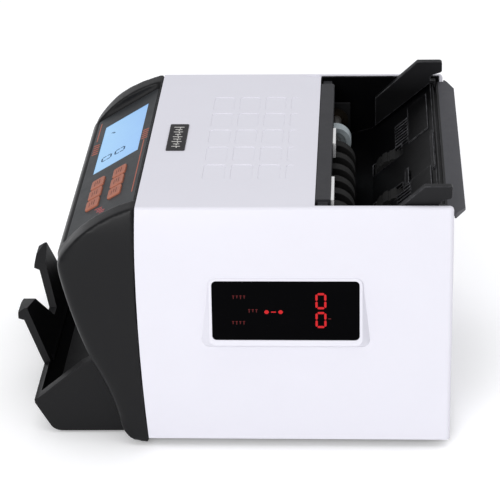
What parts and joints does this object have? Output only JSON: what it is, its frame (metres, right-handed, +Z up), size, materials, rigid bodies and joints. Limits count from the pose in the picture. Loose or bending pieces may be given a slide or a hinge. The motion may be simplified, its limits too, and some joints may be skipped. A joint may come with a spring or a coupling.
{
  "type": "banknote counting machine",
  "caption": "Desktop friction-feed banknote counter with rear hopper, sloping control panel, side display and front note stacker.",
  "frame": {"origin": "on the table, on the case's middle plane and half way between the stacker horns and the hopper rail", "axes": "+Z up; -Y towards the operator, where the control panel and the stacker are; +X the operator's right, where the side display is"},
  "size_m": [0.2577, 0.311, 0.191],
  "materials": {
    "white_shell": "fine satin moulded plastic",
    "black_shell": "fine satin moulded plastic",
    "panel_dark": "matt printed panel",
    "lcd": "backlit liquid crystal window",
    "key_copper": "printed key cap",
    "circuit_green": "lacquered circuit board",
    "display_black": "polished dark window",
    "plate_black": "printed name plate",
    "hopper_black": "fine matt plastic",
    "rail_grey": "satin dark grey plastic",
    "white_sheet": "plain white sheet",
    "steel": "turned or pressed steel",
    "zinc_sheet": "zinc plated sheet",
    "bronze": "sintered bronze",
    "roller_rubber": "ribbed rubber",
    "roller_white": "acetal",
    "pulley_aluminium": "turned aluminium",
    "belt_rubber": "flat belt",
    "motor_steel": "plated can",
    "foot_rubber": "soft rubber",
    "rear_black": "matt plastic",
    "screw_steel": "plated"
  },
  "bodies": {
    "machine": {"upper_shell": "white_shell", "front_shell": "black_shell", "control_panel": "panel_dark", "lcd_window": "lcd", "keypad_board": "circuit_green", "display_window": "display_black", "display_board": "circuit_green", "name_plate": "plate_black", "hopper_bar": "rail_grey", "note_plate": "white_sheet", "hopper_floor": "hopper_black", "hopper_side_left": "hopper_black", "hopper_side_right": "hopper_black", "rear_rail": "rail_grey", "side_frame_left": "zinc_sheet", "side_frame_right": "zinc_sheet", "tie_rods": "steel", "bearings": "bronze", "feed_motor": "motor_steel", "stacker_motor": "motor_steel", "feed_belt": "belt_rubber", "stacker_belt": "belt_rubber", "pickup_belt": "belt_rubber", "transport_belt": "belt_rubber", "lower_guide": "hopper_black", "upper_guide": "hopper_black", "stacker_tray": "black_shell", "stacker_plate": "black_shell", "exit_plate": "hopper_black", "base_tray": "rear_black", "feet": "foot_rubber", "main_board": "circuit_green", "power_supply": "motor_steel", "cover_screws": "screw_steel", "rear_plate": "rear_black", "power_inlet": "rear_black"},
    "feed_rotor": {"feed_shaft": "steel", "feed_rollers": "roller_rubber", "feed_pulleys": "pulley_aluminium"},
    "pickup_rotor": {"pickup_shaft": "steel", "pickup_rollers": "roller_rubber"},
    "transport_rotor": {"transport_shaft": "steel", "transport_rollers": "roller_rubber"},
    "separator_rotor": {"separator_shaft": "steel", "separator_discs": "roller_rubber", "separator_roller": "roller_white"},
    "stacker_rotor": {"stacker_shaft": "steel", "stacker_wheels": "roller_rubber"},
    "feed_motor_rotor": {"feed_motor_pulley": "pulley_aluminium"},
    "stacker_motor_rotor": {"stacker_motor_pulley": "pulley_aluminium"},
    "guide_left": {"guide_left": "rail_grey"},
    "guide_right": {"guide_right": "rail_grey"},
    "power_switch": {"power_switch": "display_black"},
    "key_low_1": {"key_low_1": "key_copper"},
    "key_low_2": {"key_low_2": "key_copper"},
    "key_low_3": {"key_low_3": "key_copper"},
    "key_high_1": {"key_high_1": "key_copper"},
    "key_high_2": {"key_high_2": "key_copper"},
    "key_high_3": {"key_high_3": "key_copper"}
  },
  "joints": [
    {"name": "feed_spin", "type": "hinge", "parent": "machine", "child": "feed_rotor", "pos_m": [0, 0.06, 0.1122], "axis": [1, 0, 0], "continuous": true},
    {"name": "pickup_spin", "type": "hinge", "parent": "machine", "child": "pickup_rotor", "pos_m": [0, 0.11255, 0.1333], "axis": [1, 0, 0], "continuous": true},
    {"name": "transport_spin", "type": "hinge", "parent": "machine", "child": "transport_rotor", "pos_m": [0, -0.006, 0.0808], "axis": [1, 0, 0], "continuous": true},
    {"name": "separator_spin", "type": "hinge", "parent": "machine", "child": "separator_rotor", "pos_m": [0, 0.068, 0.148], "axis": [1, 0, 0], "continuous": true},
    {"name": "stacker_spin", "type": "hinge", "parent": "machine", "child": "stacker_rotor", "pos_m": [0, -0.066, 0.05], "axis": [1, 0, 0], "continuous": true},
    {"name": "feed_motor_spin", "type": "hinge", "parent": "machine", "child": "feed_motor_rotor", "pos_m": [0, 0.092, 0.062], "axis": [1, 0, 0], "continuous": true},
    {"name": "stacker_motor_spin", "type": "hinge", "parent": "machine", "child": "stacker_motor_rotor", "pos_m": [0, -0.02, 0.032], "axis": [1, 0, 0], "continuous": true},
    {"name": "guide_left_slide", "type": "slide", "parent": "machine", "child": "guide_left", "axis": [1, 0, 0], "range_m": [0, 0.028]},
    {"name": "guide_right_slide", "type": "slide", "parent": "machine", "child": "guide_right", "axis": [-1, 0, 0], "range_m": [0, 0.028]},
    {"name": "power_switch_rock", "type": "hinge", "parent": "machine", "child": "power_switch", "pos_m": [-0.006, 0.1462, 0.046], "axis": [1, 0, 0], "range_deg": [-20, 0]},
    {"name": "key_low_1_press", "type": "slide", "parent": "machine", "child": "key_low_1", "axis": [0, 0.515, -0.8572], "range_m": [0, 0.001], "stiffness_N_per_m": 300, "springref_m": -0.0005},
    {"name": "key_low_2_press", "type": "slide", "parent": "machine", "child": "key_low_2", "axis": [0, 0.515, -0.8572], "range_m": [0, 0.001], "stiffness_N_per_m": 300, "springref_m": -0.0005},
    {"name": "key_low_3_press", "type": "slide", "parent": "machine", "child": "key_low_3", "axis": [0, 0.515, -0.8572], "range_m": [0, 0.001], "stiffness_N_per_m": 300, "springref_m": -0.0005},
    {"name": "key_high_1_press", "type": "slide", "parent": "machine", "child": "key_high_1", "axis": [0, 0.515, -0.8572], "range_m": [0, 0.001], "stiffness_N_per_m": 300, "springref_m": -0.0005},
    {"name": "key_high_2_press", "type": "slide", "parent": "machine", "child": "key_high_2", "axis": [0, 0.515, -0.8572], "range_m": [0, 0.001], "stiffness_N_per_m": 300, "springref_m": -0.0005},
    {"name": "key_high_3_press", "type": "slide", "parent": "machine", "child": "key_high_3", "axis": [0, 0.515, -0.8572], "range_m": [0, 0.001], "stiffness_N_per_m": 300, "springref_m": -0.0005}
  ],
  "couplings": [
    {"joint": "pickup_spin", "follows": "feed_spin", "ratio": 1.25},
    {"joint": "transport_spin", "follows": "feed_spin", "ratio": 1.4286},
    {"joint": "feed_motor_spin", "follows": "feed_spin", "ratio": 2},
    {"joint": "stacker_motor_spin", "follows": "stacker_spin", "ratio": 2.2857}
  ]
}
